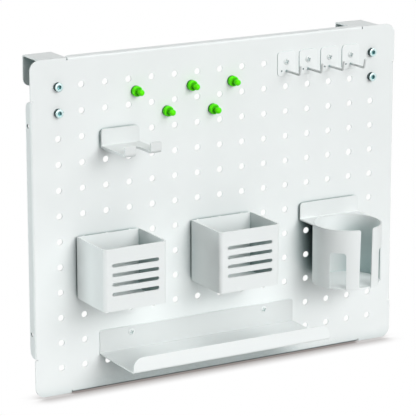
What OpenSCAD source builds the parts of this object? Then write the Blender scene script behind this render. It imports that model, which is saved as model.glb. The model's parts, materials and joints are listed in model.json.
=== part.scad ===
// Perforated steel tool panel that hooks over the top edge of a desk screen, with two bins, a cup holder,
// a tool holder, a shelf, four key hooks and five pull-off magnets. Sizes are in millimetres.
// +X runs to the right along the panel, +Y runs from the panel into the screen and +Z is up.
// The origin lies midway between the two hangers, in the middle of the screen's top edge.

/* [Panel] */
// Distance between neighbouring peg holes
hole_pitch = 30; // [27:0.5:34]
// Diameter of each peg hole
hole_d = 7.5; // [7:0.1:9]
// Number of hole columns
hole_columns = 15; // [15:1:20]
// Number of hole rows
hole_rows = 12; // [12:1:16]
// Distance from the outer columns to the side edges
side_margin = 33.5; // [28:0.5:45]
// Distance from the outer rows to the top and bottom edges
end_margin = 32; // [28:0.5:45]
// Thickness of the panel sheet
panel_t = 1.5; // [1:0.1:2]
// Radius of the panel's four corners
corner_r = 12; // [6:0.5:20]
// Depth of the folded edges, from the front face to their rear edge
flange_depth = 13; // [12:0.5:20]
// Radius of the rear corners of each folded edge
flange_corner_r = 9.5; // [3:0.5:9.5]
// Length of panel edge left flat at each end of the top and bottom folds
top_fold_inset = 47; // [40:0.5:60]
// Length of panel edge left flat at each end of the side folds
side_fold_inset = 47; // [40:0.5:60]
// Inside radius of the folds
fold_r = 1; // [0.5:0.1:2]
// Width of the relief slot at each end of a fold
relief_w = 1.4; // [1:0.1:4]
// Diameter of the joining holes in the side folds
joining_hole_d = 5.5; // [4:0.1:6]
// Height of the joining holes above and below the panel's middle
joining_hole_z = 122; // [90:1:130]

/* [Hangers] */
// Width of each hanger strip
hanger_w = 35; // [28:0.5:44]
// Thickness of the hanger strip
hanger_t = 2; // [1.5:0.1:3]
// Depth left for the screen, between the panel's folded edges and the rear legs
screen_gap = 38; // [25:1:50]
// Length of the front leg, from the hanger's top face
front_leg = 75; // [66:1:100]
// Length of the rear leg, from the hanger's top face
rear_leg = 36.5; // [25:0.5:60]
// Radius of the lower corners of the rear leg
leg_corner_r = 8; // [2:0.5:12]
// Inside radius of the hanger's folds
hanger_fold_r = 1.5; // [1:0.1:4]
// Clearance between the hanger and the top fold above it
hanger_clear = 0.5; // [0.3:0.1:1]

/* [Fasteners] */
// Shank diameter of the hanger screws
bolt_d = 6; // [5:0.5:6.5]
// Length of the hanger screws under the head
bolt_len = 12; // [11:0.5:14]
// Head diameter of the hanger screws
bolt_head_d = 10; // [9:0.1:12]
// Head height of the hanger screws
bolt_head_h = 5.6; // [4:0.1:7]
// Key width of the socket in the hanger screws
bolt_socket = 5; // [3:0.5:6]
// Shank diameter of the pan-head screws
screw_d = 5; // [4:0.1:5.3]
// Length of the pan-head screws under the head
screw_len = 9; // [8.6:0.1:11]
// Head diameter of the pan-head screws
screw_head_d = 8; // [7.5:0.1:10.5]
// Head height of the pan-head screws
screw_head_h = 1.6; // [1.5:0.1:3.5]
// Width across the cross recess
recess_w = 4.2; // [3:0.1:4.4]
// Radial clearance between a screw and what it passes through or enters
screw_clear = 0.06; // [0.03:0.01:0.1]

/* [Hooks] */
// Gap between the panel and the accessories that hook into it
hang_gap = 3.5; // [3:0.1:5]
// Thickness of the flat hooks
hook_t = 2; // [1.5:0.1:2.5]
// Height of the hook's stem
stem_h = 3.5; // [3:0.1:3.6]
// How far the hook's nose reaches below the stem
nose_drop = 2.8; // [2:0.1:3]
// Length of the hook's nose behind the panel
nose_len = 2.6; // [2:0.1:4]
// Running clearance between a hook or bumper and the panel
hook_clear = 0.3; // [0.2:0.05:0.4]
// Diameter of the rubber bumpers
bumper_d = 8; // [5:0.5:10]

/* [Bins] */
// Width of each bin
bin_w = 81; // [76:0.5:88]
// Height of each bin
bin_h = 73; // [60:0.5:100]
// Depth of each bin
bin_d = 67; // [50:0.5:90]
// Thickness of the bin's sheet
bin_t = 1.5; // [1:0.1:2]
// Outside radius of the bin's front corners
bin_corner_r = 5; // [2.5:0.5:12]
// Height of the bin's rim above the middle of its hook holes
bin_rise = 4.4; // [4:0.1:10]
// Length of the slots in the bin's front
slot_len = 60; // [40:1:64]
// Height of each slot
slot_h = 4.4; // [3:0.1:6]
// Distance between the slots
slot_pitch = 11.2; // [9:0.1:13]
// Number of slots in each bin
slot_count = 4; // [2:1:5]

/* [Cup holder] */
// Outside diameter of the cup holder
cup_d = 82.5; // [76:0.5:90]
// Height of the cup holder, from its rim to its base
cup_h = 73; // [60:0.5:100]
// Thickness of the cup holder's sheet
cup_t = 1.5; // [1:0.1:2]
// Height of the back plate above the rim
cup_plate_rise = 19.5; // [18:0.5:30]
// Height of the back plate above the middle of its hook holes
cup_rise = 6; // [5:0.5:12]
// Width of the handle slot at the front
handle_slot_w = 17; // [12:0.5:26]
// How far the handle slot leans to the right from the base to the rim
handle_slot_lean = 1.6; // [0:0.1:3]
// Radius of the corners at the top of the handle slot
handle_slot_r = 2.5; // [1:0.5:5]
// Width of the arched windows
window_w = 20; // [12:0.5:24]
// Height of the arched windows above the base
window_h = 45; // [30:0.5:55]
// Angle of the windows from the front
window_angle = 48; // [42:1:60]
// Radius of the windows' upper corners
window_r = 4; // [2:0.5:8]
// Clearance round the base plate
base_clear = 0.1; // [0.05:0.01:0.2]

/* [Tool holder] */
// Width of the tool holder
tool_w = 49; // [42:0.2:56]
// How far the tool holder sits to the right of the middle of its hooks
tool_shift = 1.1; // [-2:0.1:2]
// Height of the tool holder's back plate
tool_h = 22; // [21.5:0.5:34]
// Reach of the left prong, from the holder's back face to its front
tool_reach = 60.2; // [45:0.2:80]
// How much shorter the right prong is
prong_step = 4.6; // [0:0.2:8]
// Height of the upturned tips
tool_tip_h = 12.8; // [8:0.2:22]
// Thickness of the tool holder's sheet
tool_t = 3; // [1.5:0.1:3.2]
// Width of each prong
prong_w = 13.8; // [8:0.2:16]
// Length of the slot between the prongs
tool_slot_len = 40; // [25:0.5:42]
// Height of the back plate above the middle of its hook holes
tool_rise = 6.5; // [6:0.1:8.5]

/* [Shelf] */
// Length of the shelf
shelf_w = 262; // [215:1:300]
// Depth of the shelf
shelf_d = 84.5; // [60:0.5:110]
// Height of the shelf's rear flange
shelf_back_h = 29; // [24:0.5:40]
// Height of the shelf's front lip
shelf_lip_h = 18.5; // [8:0.5:30]
// Radius of the lip's upper corners
shelf_lip_r = 12; // [3:0.5:14]
// Thickness of the shelf's sheet
shelf_t = 1.5; // [1:0.1:2]
// Height of the rear flange above the middle of its screw holes
shelf_rise = 7.2; // [6:0.2:12]

/* [Key hooks] */
// Number of key hooks
key_count = 4; // [1:1:4]
// Width of each key hook's plate
key_w = 24; // [18:0.5:26]
// Height of each key hook's plate
key_h = 29; // [25:0.5:34]
// Thickness of the key hook's plate
key_t = 1.5; // [1:0.1:2]
// Height of the plate above the middle of its screw hole
key_rise = 12; // [8:0.5:16]
// Diameter of the hook wire
wire_d = 2.8; // [2:0.1:4]
// Reach of the hook wire from the plate to its bend
wire_reach = 30; // [15:0.5:50]
// Length of the wire's upturned end
wire_tip = 8; // [4:0.5:20]
// Angle through which the wire turns up
wire_turn = 68; // [40:1:90]
// Drop from the screw to the wire
wire_drop = 11.2; // [9:0.2:12]

/* [Magnets] */
// Diameter of a magnet's base
magnet_d = 12.2; // [11:0.1:16]
// Height of a magnet's base
magnet_base_h = 6.4; // [5:0.1:9]
// Overall length of a magnet
magnet_len = 17.5; // [15:0.5:24]
// Diameter of a magnet's neck
magnet_neck_d = 5.6; // [4:0.1:6]
// Diameter of a magnet's knob
magnet_knob_d = 7.6; // [6.5:0.1:9]
// Gap between a magnet and the panel's coating
magnet_gap = 0.2; // [0.1:0.05:0.3]
// Diameter of the magnet disc inside each base
disc_d = 9; // [6:0.5:9]
// Thickness of the magnet disc
disc_h = 2.5; // [1.5:0.1:3.5]

/* [Hidden] */
$fn = 48;
cut = 1; // how far a cutter reaches past the sheet it cuts

// Finishes
coat = [0.91, 0.925, 0.925];
zinc = [0.68, 0.72, 0.73];
green = [0.25, 0.85, 0.05];
rubber = [0.12, 0.12, 0.12];
nickel = [0.75, 0.75, 0.73];

// The panel, measured in its own frame: x = 0 and z = 0 in the middle, y = 0 on the front face
panel_w = (hole_columns - 1) * hole_pitch + 2 * side_margin;
panel_h = (hole_rows - 1) * hole_pitch + 2 * end_margin;
panel_top = panel_h / 2;
fold_edge = panel_t + fold_r;
top_fold_len = panel_w - 2 * top_fold_inset;
side_fold_len = panel_h - 2 * side_fold_inset;

// Columns count from the left and rows from the top, both from 0
function col_x(i) = (i - (hole_columns - 1) / 2) * hole_pitch;
function row_z(j) = ((hole_rows - 1) / 2 - j) * hole_pitch;

// The seat on the screen, which is the model's origin
hanger_top = panel_top - panel_t - hanger_clear;
seat_y = flange_depth + screen_gap / 2;
hanger_span = flange_depth + screen_gap - panel_t - hanger_t;
seat_z = hanger_top - hanger_t;

// Where the accessories hang: their middle columns and hook or screw rows
hanger_rows = [0, 1];
bin_row = 6;
bin_left_x = col_x(2);
bin_right_x = col_x(7);
cup_row = 6;
cup_x = col_x(12);
tool_row = 2;
tool_hook_x = (col_x(2) + col_x(3)) / 2;
tool_x = tool_hook_x + tool_shift;
shelf_row = 10;
shelf_x = col_x(6);
shelf_screw_columns = [3, 9];
key_row = 0;
key_columns = [10, 11, 12, 13];

// Magnets stand on the blank sheet between four holes: [column, row] of their middles
magnet_spots = [[3.3, 0.487], [4.65, 1.4], [5.72, 0.51], [7.53, 0.52], [6.67, 1.53]];

// Screws, washers and nuts
washer_t = 1.6;
bolt_washer_d = 12;
bolt_nut_af = 10;
bolt_nut_h = 5;
bolt_y = panel_t + hanger_t;
screw_washer_t = 1;
screw_washer_d = 12;
screw_nut_af = 8;
screw_nut_h = 4;
screw_hole_d = screw_d + 2 * screw_clear;
bolt_hole_d = bolt_d + 2 * screw_clear;
recess_arm = 1.1;
recess_depth = 1.2;

// Hooks: the stem rests low in the hole and the nose hangs behind the sheet
stem_rest = sqrt(pow(hole_d / 2, 2) - pow(hook_t / 2, 2)) - hook_clear;
hook_foot_up = 3;
hook_foot_down = 9;
bumper_len = hang_gap - hook_clear;

// Bins
bin_top = row_z(bin_row) + bin_rise;
bin_bottom = bin_top - bin_h;
bumper_inset = 9;

// Cup holder
cup_plate_top = row_z(cup_row) + cup_rise;
cup_rim = cup_plate_top - cup_plate_rise;
cup_bottom = cup_rim - cup_h;
cup_y = -hang_gap - cup_d / 2;
cup_fold_r = 1;
cup_plate_r = 4;

// Tool holder
tool_top = row_z(tool_row) + tool_rise;
tool_bottom = tool_top - tool_h;
tool_fold_r = 1.5;
tool_plate_r = 4;
tool_tip_r = 1.5;
tool_slot_w = tool_w - 2 * prong_w;

// Shelf
shelf_top = row_z(shelf_row) + shelf_rise;
shelf_bottom = shelf_top - shelf_back_h;
shelf_fold_r = 1.5;
shelf_back_r = 3;

// Key hooks
key_top = row_z(key_row) + key_rise;
key_plate_r = 4;
wire_bend_r = 3;
wire_z = row_z(key_row) - wire_drop;
rivet_hole_d = 2.2;
rivet_hole_x = -6.5;

// Magnets
magnet_edge_r = 1.2;
disc_clear = 0.1;

// ---- Helpers ----

// Moves what is drawn in the panel's frame into the model's frame
module placed() {
    translate([0, -seat_y, -seat_z]) children();
}

// Extrudes a front view (x, z) backwards from y = 0
module front_view(depth) {
    rotate([90, 0, 0]) translate([0, 0, -depth]) linear_extrude(depth) children();
}

// Extrudes a side view (y, z) along x, centred on x = 0
module side_view(width) {
    rotate([90, 0, 90]) translate([0, 0, -width / 2]) linear_extrude(width) children();
}

// Quarter of a flat ring in the first quadrant: the section of a folded sheet's bend
module quarter_ring(r, t) {
    intersection() {
        difference() {
            circle(r + t);
            circle(r);
        }
        square(r + t);
    }
}

// Section of a folded strip that starts along +x: flats of the given lengths, joined by bends that
// all turn left (+1) or right (-1)
module folded(flats, turn, t, r, i = 0) {
    square([flats[i], t]);
    if (i < len(flats) - 1) {
        if (turn > 0) {
            translate([flats[i], t + r]) rotate(-90) quarter_ring(r, t);
            translate([flats[i] + t + r, t + r]) rotate(90) folded(flats, turn, t, r, i + 1);
        } else {
            translate([flats[i], -r]) quarter_ring(r, t);
            translate([flats[i] + r, -r]) rotate(-90) folded(flats, turn, t, r, i + 1);
        }
    }
}

// Rectangle with four round corners, centred
module round_rect(w, h, r) {
    square([w, h - 2 * r], center = true);
    square([w - 2 * r, h], center = true);
    for (sx = [-1, 1], sy = [-1, 1]) translate([sx * (w / 2 - r), sy * (h / 2 - r)]) circle(r);
}

// Rectangle standing on y = 0, centred on x, with its two upper corners round
module round_top(w, h, r) {
    translate([-w / 2, 0]) square([w, h - r]);
    translate([-w / 2 + r, 0]) square([w - 2 * r, h]);
    intersection() {
        translate([-w / 2, 0]) square([w, h]);
        for (s = [-1, 1]) translate([s * (w / 2 - r), h - r]) circle(r);
    }
}

// What a round corner of radius r takes off a square corner at the origin, towards +x and +y
module corner_waste(r) {
    difference() {
        translate([-cut, -cut]) square(r + cut);
        translate([r, r]) circle(r);
    }
}

// Cuts the two upper corners of a plate of width w whose top edge is at z = top
module cut_top_corners(w, top, r, y0, y1) {
    difference() {
        children();
        for (s = [-1, 1]) translate([s * w / 2, y0, top]) mirror([s > 0 ? 1 : 0, 0, 0])
            front_view(y1 - y0) mirror([0, 1]) corner_waste(r);
    }
}

// Slot with round ends, centred
module round_slot(length, height) {
    square([length - height, height], center = true);
    for (s = [-1, 1]) translate([s * (length - height) / 2, 0]) circle(height / 2);
}

// ---- Panel ----

// Front view of the folded edges' strip and its relief slots, along the top edge at y = 0
module fold_waste(length) {
    translate([-length / 2, -fold_edge]) square([length, fold_edge + cut]);
    for (s = [-1, 1]) translate([s * (length + relief_w) / 2, 0]) {
        translate([-relief_w / 2, -fold_edge]) square([relief_w, fold_edge + cut]);
        translate([0, -fold_edge]) circle(relief_w / 2);
    }
}

// One folded edge, its outer face at z = 0
module folded_edge(length) {
    side_view(length) translate([fold_edge, -fold_edge]) rotate(90) quarter_ring(fold_r, panel_t);
    translate([0, fold_edge, -panel_t])
        linear_extrude(panel_t) round_top(length, flange_depth - fold_edge, flange_corner_r);
}

module panel() {
    color(coat) placed() difference() {
        union() {
            front_view(panel_t) difference() {
                round_rect(panel_w, panel_h, corner_r);
                for (s = [0, 180]) rotate(s) translate([0, panel_top]) fold_waste(top_fold_len);
                for (s = [90, 270]) rotate(s) translate([0, panel_w / 2]) fold_waste(side_fold_len);
                for (i = [0 : hole_columns - 1], j = [0 : hole_rows - 1])
                    translate([col_x(i), row_z(j)]) circle(hole_d / 2);
            }
            for (s = [0, 180]) rotate([0, s, 0]) translate([0, 0, panel_top]) folded_edge(top_fold_len);
            for (s = [90, 270]) rotate([0, s, 0]) translate([0, 0, panel_w / 2]) folded_edge(side_fold_len);
        }
        for (sx = [-1, 1], sz = [-1, 1])
            translate([sx * panel_w / 2, (flange_depth + fold_edge) / 2, sz * joining_hole_z])
                rotate([0, 90, 0]) cylinder(d = joining_hole_d, h = 4 * panel_t, center = true);
    }
}

// ---- Hangers and their screws ----

module hanger(x) {
    bend = hanger_t + hanger_fold_r;
    color(coat) placed() translate([x, 0, 0]) difference() {
        // the section runs up the front leg, back over the screen and down the rear leg
        translate([0, panel_t, hanger_top - front_leg]) mirror([0, 1, 0]) side_view(hanger_w) rotate(90)
            folded([front_leg - bend, hanger_span - 2 * hanger_fold_r, rear_leg - bend], 1,
                   hanger_t, hanger_fold_r);
        for (j = hanger_rows) translate([0, panel_t + hanger_t / 2, row_z(j)]) rotate([90, 0, 0])
            cylinder(d = bolt_hole_d, h = 2 * hanger_t, center = true);
        for (s = [0, 1]) mirror([s, 0, 0])
            translate([-hanger_w / 2, flange_depth + screen_gap - cut, hanger_top - rear_leg])
                front_view(hanger_t + 2 * cut) corner_waste(leg_corner_r);
    }
}

hanger_left_x = col_x(0);
hanger_right_x = col_x(hole_columns - 1);

module hanger_left() {
    hanger(hanger_left_x);
}

module hanger_right() {
    hanger(hanger_right_x);
}

module at_bolts(y) {
    placed() for (x = [hanger_left_x, hanger_right_x], j = hanger_rows)
        translate([x, y, row_z(j)]) rotate([-90, 0, 0]) children();
}

module hanger_screws() {
    edge = 0.6;
    color(zinc) at_bolts(0) difference() {
        union() {
            cylinder(d = bolt_d, h = bolt_len);
            translate([0, 0, -bolt_head_h]) cylinder(d1 = bolt_head_d - 2 * edge, d2 = bolt_head_d, h = edge);
            translate([0, 0, edge - bolt_head_h]) cylinder(d = bolt_head_d, h = bolt_head_h - edge);
        }
        translate([0, 0, -bolt_head_h - cut])
            cylinder(d = bolt_socket / cos(30), h = bolt_head_h / 2 + cut, $fn = 6);
    }
}

module ring(outer_d, inner_d, h) {
    difference() {
        cylinder(d = outer_d, h = h);
        translate([0, 0, -cut]) cylinder(d = inner_d, h = h + 2 * cut);
    }
}

module hex_nut(across_flats, inner_d, h) {
    difference() {
        cylinder(d = across_flats / cos(30), h = h, $fn = 6);
        translate([0, 0, -cut]) cylinder(d = inner_d, h = h + 2 * cut);
    }
}

module hanger_washers() {
    color(zinc) at_bolts(bolt_y) ring(bolt_washer_d, bolt_hole_d, washer_t);
}

module hanger_nuts() {
    color(zinc) at_bolts(bolt_y + washer_t) hex_nut(bolt_nut_af, bolt_hole_d, bolt_nut_h);
}

// ---- Hooks and bumpers ----

// Flat hook, drawn with the middle of its hole at the origin: foot, stem and nose
module hook() {
    nose_y = panel_t + hook_clear;
    stem_top = stem_h - stem_rest;
    foot_end = -hook_clear;
    side_view(hook_t) polygon([
        [-hang_gap, -hook_foot_down], [foot_end - 1, -hook_foot_down], [foot_end, -hook_foot_down + 1],
        [foot_end, -stem_rest], [nose_y, -stem_rest], [nose_y, -stem_rest - nose_drop],
        [nose_y + nose_len - 1, -stem_rest - nose_drop], [nose_y + nose_len, -stem_rest - nose_drop + 1],
        [nose_y + nose_len, stem_top - 1], [nose_y + nose_len - 1, stem_top], [foot_end, stem_top],
        [foot_end, hook_foot_up - 1], [foot_end - 1, hook_foot_up], [-hang_gap, hook_foot_up]
    ]);
}

// Hooks in two holes, on either side of x
module hook_pair(x, row, spread) {
    color(zinc) placed() for (s = [-1, 1]) translate([x + s * spread, 0, row_z(row)]) hook();
}

// Rubber bumper glued to a back plate, against the panel
module bumper(x, z) {
    placed() translate([x, -hang_gap, z]) rotate([-90, 0, 0]) {
        cylinder(d = bumper_d, h = bumper_len - 1);
        translate([0, 0, bumper_len - 1]) cylinder(d1 = bumper_d, d2 = bumper_d - 2, h = 1);
    }
}

// ---- Bins ----

module bin_wrap(x) {
    r = bin_corner_r - bin_t;
    color(coat) placed() translate([x, -hang_gap, bin_bottom]) difference() {
        // the section runs forward along one side, across the front and back along the other
        linear_extrude(bin_h) translate([-bin_w / 2, 0]) rotate(-90)
            folded([bin_d - bin_corner_r, bin_w - 2 * bin_corner_r, bin_d - bin_corner_r], 1, bin_t, r);
        for (i = [0 : slot_count - 1])
            translate([0, -bin_d - cut, bin_h / 2 + (i - (slot_count - 1) / 2) * slot_pitch])
                front_view(bin_t + 2 * cut) round_slot(slot_len, slot_h);
    }
}

module bin_back(x) {
    color(coat) placed() translate([x - bin_w / 2 + bin_t, -hang_gap - bin_t, bin_bottom])
        cube([bin_w - 2 * bin_t, bin_t, bin_h]);
}

module bin_floor(x) {
    w = bin_w - 2 * bin_t;
    color(coat) placed() translate([x, -hang_gap - bin_t, bin_bottom])
        mirror([0, 1, 0]) linear_extrude(bin_t) round_top(w, bin_d - 2 * bin_t, bin_corner_r - bin_t);
}

module bin_hooks(x) {
    hook_pair(x, bin_row, hole_pitch);
}

module bin_bumpers(x) {
    color(rubber) for (s = [-1, 1]) bumper(x + s * hole_pitch / 2, bin_bottom + bumper_inset);
}

module bin_left_wrap() {
    bin_wrap(bin_left_x);
}

module bin_left_back() {
    bin_back(bin_left_x);
}

module bin_left_floor() {
    bin_floor(bin_left_x);
}

module bin_left_hooks() {
    bin_hooks(bin_left_x);
}

module bin_left_bumpers() {
    bin_bumpers(bin_left_x);
}

module bin_right_wrap() {
    bin_wrap(bin_right_x);
}

module bin_right_back() {
    bin_back(bin_right_x);
}

module bin_right_floor() {
    bin_floor(bin_right_x);
}

module bin_right_hooks() {
    bin_hooks(bin_right_x);
}

module bin_right_bumpers() {
    bin_bumpers(bin_right_x);
}

// ---- Cup holder ----

// The handle slot, cut through the rim and the wall, with round corners where it meets the rim
module handle_slot() {
    r = handle_slot_r;
    lean = handle_slot_lean / cup_h;
    translate([0, -cup_d / 2 - cut, -cup_h - cut]) front_view(cup_d / 4)
    multmatrix([[1, lean, 0, 0], [0, 1, 0, 0], [0, 0, 1, 0], [0, 0, 0, 1]]) {
        translate([-handle_slot_w / 2, 0]) square([handle_slot_w, cup_h + 2 * cut]);
        for (s = [0, 1]) mirror([s, 0]) translate([handle_slot_w / 2, cup_h + cut]) difference() {
            translate([-cut, -r]) square([r + cut, r + cut]);
            translate([r, -r]) circle(r);
        }
    }
}

module cup_bracket() {
    bend = cup_t + cup_fold_r;
    color(coat) placed() translate([cup_x, 0, 0]) difference() {
        union() {
            // back plate
            translate([0, -hang_gap - cup_t, cup_rim - cup_t + bend]) front_view(cup_t)
                round_top(cup_d, cup_plate_rise + cup_t - bend, cup_plate_r);
            // fold at its foot
            translate([0, -hang_gap - bend, cup_rim - cup_t + bend]) side_view(cup_d)
                rotate(-90) quarter_ring(cup_fold_r, cup_t);
            // collar that carries the wall
            translate([0, 0, cup_rim - cup_t]) linear_extrude(cup_t) difference() {
                union() {
                    translate([-cup_d / 2, cup_y]) square([cup_d, -hang_gap - bend - cup_y]);
                    translate([0, cup_y]) circle(cup_d / 2);
                }
                translate([0, cup_y]) circle(cup_d / 2 - cup_t);
            }
        }
        // the collar's ring stays in front of the fold
        translate([0, cup_y, cup_rim]) handle_slot();
    }
}

module cup_shell() {
    color(coat) placed() translate([cup_x, cup_y, cup_rim]) difference() {
        translate([0, 0, -cup_h]) ring(cup_d, cup_d - 2 * cup_t, cup_h - cup_t);
        handle_slot();
        for (s = [-1, 1]) rotate(s * window_angle) translate([0, -cup_d / 2 - cut, -cup_h - cut])
            front_view(cup_d / 4) round_top(window_w, window_h + cut, window_r);
    }
}

module cup_base() {
    color(coat) placed() translate([cup_x, cup_y, cup_bottom])
        cylinder(d = cup_d - 2 * cup_t - 2 * base_clear, h = cup_t);
}

module cup_hooks() {
    hook_pair(cup_x, cup_row, hole_pitch);
}

module cup_bumper() {
    color(rubber) bumper(cup_x, cup_bottom + bumper_inset);
}

// ---- Tool holder ----

// Half of the tool holder, from the middle of its slot outwards, with its prong of the given reach
module tool_half(side, reach) {
    bend = tool_t + tool_fold_r;
    // the section runs down the back plate, forward along the floor and up the tip
    difference() {
        translate([side * tool_w / 4, -hang_gap - tool_t, tool_top]) side_view(tool_w / 2) rotate(-90)
            folded([tool_h - bend, reach - 2 * bend, tool_tip_h - bend], -1, tool_t, tool_fold_r);
        // round upper corners of the tip
        translate([side * (tool_w - prong_w) / 2, -hang_gap - reach - cut, tool_bottom + tool_tip_h])
            for (m = [0, 1]) mirror([m, 0, 0]) translate([-prong_w / 2, 0, 0])
                front_view(tool_t + 2 * cut) mirror([0, 1]) corner_waste(tool_tip_r);
    }
}

module tool_holder() {
    slot_end = tool_slot_w / 2;
    color(coat) placed() translate([tool_x, 0, 0])
        cut_top_corners(tool_w, tool_top, tool_plate_r, -hang_gap - tool_t - cut, 0)
        difference() {
            union() {
                tool_half(-1, tool_reach);
                tool_half(1, tool_reach - prong_step);
            }
            // slot between the prongs, open at the front
            translate([0, -hang_gap - tool_reach - cut, tool_bottom - cut]) linear_extrude(tool_h) {
                translate([-tool_slot_w / 2, 0]) square([tool_slot_w, tool_slot_len - slot_end + cut]);
                translate([0, tool_slot_len - slot_end + cut]) circle(slot_end);
            }
        }
}

module tool_holder_hooks() {
    hook_pair(tool_hook_x, tool_row, hole_pitch / 2);
}

module tool_holder_bumper() {
    color(rubber) bumper(tool_hook_x, tool_bottom + tool_t + tool_fold_r + bumper_d / 2);
}

// ---- Shelf ----

module shelf() {
    bend = shelf_t + shelf_fold_r;
    color(coat) placed() translate([shelf_x, 0, 0]) difference() {
        cut_top_corners(shelf_w, shelf_top, shelf_back_r, -shelf_t - cut, cut)
        cut_top_corners(shelf_w, shelf_bottom + shelf_lip_h, shelf_lip_r,
                        -shelf_d - cut, -shelf_d + shelf_t + cut)
            // the section runs down the rear flange, forward along the floor and up the lip
            translate([0, -shelf_t, shelf_top]) side_view(shelf_w) rotate(-90)
                folded([shelf_back_h - bend, shelf_d - 2 * bend, shelf_lip_h - bend], -1,
                       shelf_t, shelf_fold_r);
        for (i = shelf_screw_columns) translate([col_x(i) - shelf_x, -shelf_t / 2, row_z(shelf_row)])
            rotate([90, 0, 0]) cylinder(d = screw_hole_d, h = 2 * shelf_t, center = true);
    }
}

// ---- Key hooks ----

module key_plate(i) {
    color(coat) placed() translate([col_x(key_columns[i]), -key_t, 0]) front_view(key_t) difference() {
        translate([0, key_top - key_h / 2]) round_rect(key_w, key_h, key_plate_r);
        translate([0, row_z(key_row)]) circle(screw_hole_d / 2);
        translate([rivet_hole_x, wire_z]) circle(rivet_hole_d / 2);
    }
}

module key_wire(i) {
    straight = wire_reach - wire_bend_r;
    color(coat) placed() translate([col_x(key_columns[i]), -key_t, wire_z]) {
        rotate([90, 0, 0]) cylinder(d = wire_d, h = straight);
        // the bend starts at the end of the straight and turns up; the tip follows on from it
        translate([0, -straight, wire_bend_r]) rotate([0, 90, 180]) {
            rotate_extrude(angle = wire_turn) translate([wire_bend_r, 0]) circle(wire_d / 2);
            rotate(wire_turn) translate([wire_bend_r, 0, 0]) rotate([-90, 0, 0]) {
                cylinder(d = wire_d, h = wire_tip);
                translate([0, 0, wire_tip]) sphere(d = wire_d);
            }
        }
    }
}

module key_plate_1() {
    key_plate(0);
}

module key_plate_2() {
    key_plate(1);
}

module key_plate_3() {
    key_plate(2);
}

module key_plate_4() {
    key_plate(3);
}

module key_wire_1() {
    key_wire(0);
}

module key_wire_2() {
    key_wire(1);
}

module key_wire_3() {
    key_wire(2);
}

module key_wire_4() {
    key_wire(3);
}

// ---- Pan-head screws of the shelf and key hooks ----

// Places of these screws: [x, z, thickness of the sheet under the head]
pan_places = concat(
    [for (i = shelf_screw_columns) [col_x(i), row_z(shelf_row), shelf_t]],
    [for (i = [0 : key_count - 1]) [col_x(key_columns[i]), row_z(key_row), key_t]]
);

module pan_screws() {
    color(coat) placed() for (p = pan_places) translate([p[0], -p[2], p[1]]) rotate([-90, 0, 0]) difference() {
        union() {
            cylinder(d = screw_d, h = screw_len);
            translate([0, 0, -screw_head_h]) rotate_extrude() intersection() {
                square([screw_head_d / 2, screw_head_h]);
                translate([0, screw_head_d]) circle(screw_head_d);
            }
        }
        for (a = [0, 90]) rotate(a) translate([0, 0, -screw_head_h + recess_depth / 2 - cut / 2])
            cube([recess_w, recess_arm, recess_depth + cut], center = true);
    }
}

module pan_washers() {
    color(zinc) placed() for (p = pan_places) translate([p[0], panel_t, p[1]]) rotate([-90, 0, 0])
        ring(screw_washer_d, screw_hole_d, screw_washer_t);
}

module pan_nuts() {
    color(zinc) placed() for (p = pan_places) translate([p[0], panel_t + screw_washer_t, p[1]])
        rotate([-90, 0, 0]) hex_nut(screw_nut_af, screw_hole_d, screw_nut_h);
}

// ---- Magnets ----

module at_magnet(i) {
    placed() translate([col_x(magnet_spots[i][0]), -magnet_gap, row_z(magnet_spots[i][1])])
        rotate([90, 0, 0]) children();
}

module magnet_cap(i) {
    r = magnet_d / 2;
    e = magnet_edge_r;
    color(green) at_magnet(i) difference() {
        rotate_extrude() {
            square([r, magnet_base_h - e]);
            square([r - e, magnet_base_h]);
            translate([r - e, magnet_base_h - e]) circle(e);
            square([magnet_neck_d / 2, magnet_len - magnet_knob_d / 2]);
            translate([0, magnet_len - magnet_knob_d / 2]) intersection() {
                circle(magnet_knob_d / 2);
                translate([0, -magnet_knob_d / 2]) square(magnet_knob_d);
            }
        }
        translate([0, 0, -cut]) cylinder(d = disc_d + 2 * disc_clear, h = disc_h + disc_clear + cut);
    }
}

module magnet_disc(i) {
    color(nickel) at_magnet(i) cylinder(d = disc_d, h = disc_h);
}

module magnet_cap_1() {
    magnet_cap(0);
}

module magnet_cap_2() {
    magnet_cap(1);
}

module magnet_cap_3() {
    magnet_cap(2);
}

module magnet_cap_4() {
    magnet_cap(3);
}

module magnet_cap_5() {
    magnet_cap(4);
}

module magnet_disc_1() {
    magnet_disc(0);
}

module magnet_disc_2() {
    magnet_disc(1);
}

module magnet_disc_3() {
    magnet_disc(2);
}

module magnet_disc_4() {
    magnet_disc(3);
}

module magnet_disc_5() {
    magnet_disc(4);
}

panel();
hanger_left();
hanger_right();
hanger_screws();
hanger_washers();
hanger_nuts();
bin_left_wrap();
bin_left_back();
bin_left_floor();
bin_left_hooks();
bin_left_bumpers();
bin_right_wrap();
bin_right_back();
bin_right_floor();
bin_right_hooks();
bin_right_bumpers();
cup_bracket();
cup_shell();
cup_base();
cup_hooks();
cup_bumper();
tool_holder();
tool_holder_hooks();
tool_holder_bumper();
shelf();
key_plate_1();
key_plate_2();
key_plate_3();
key_plate_4();
key_wire_1();
key_wire_2();
key_wire_3();
key_wire_4();
pan_screws();
pan_washers();
pan_nuts();
magnet_cap_1();
magnet_cap_2();
magnet_cap_3();
magnet_cap_4();
magnet_cap_5();
magnet_disc_1();
magnet_disc_2();
magnet_disc_3();
magnet_disc_4();
magnet_disc_5();
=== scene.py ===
"""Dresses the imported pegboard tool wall: powder-coated sheets with softened edges, zinc-plated screws,
rubber bumpers and moulded magnets, on a pale floor in soft studio light.

Sizes are in metres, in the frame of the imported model: +X to the right along the panel, +Y into the screen
and +Z up, with the origin in the middle of the screen's top edge."""

import json
import math
from typing import NamedTuple

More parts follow.
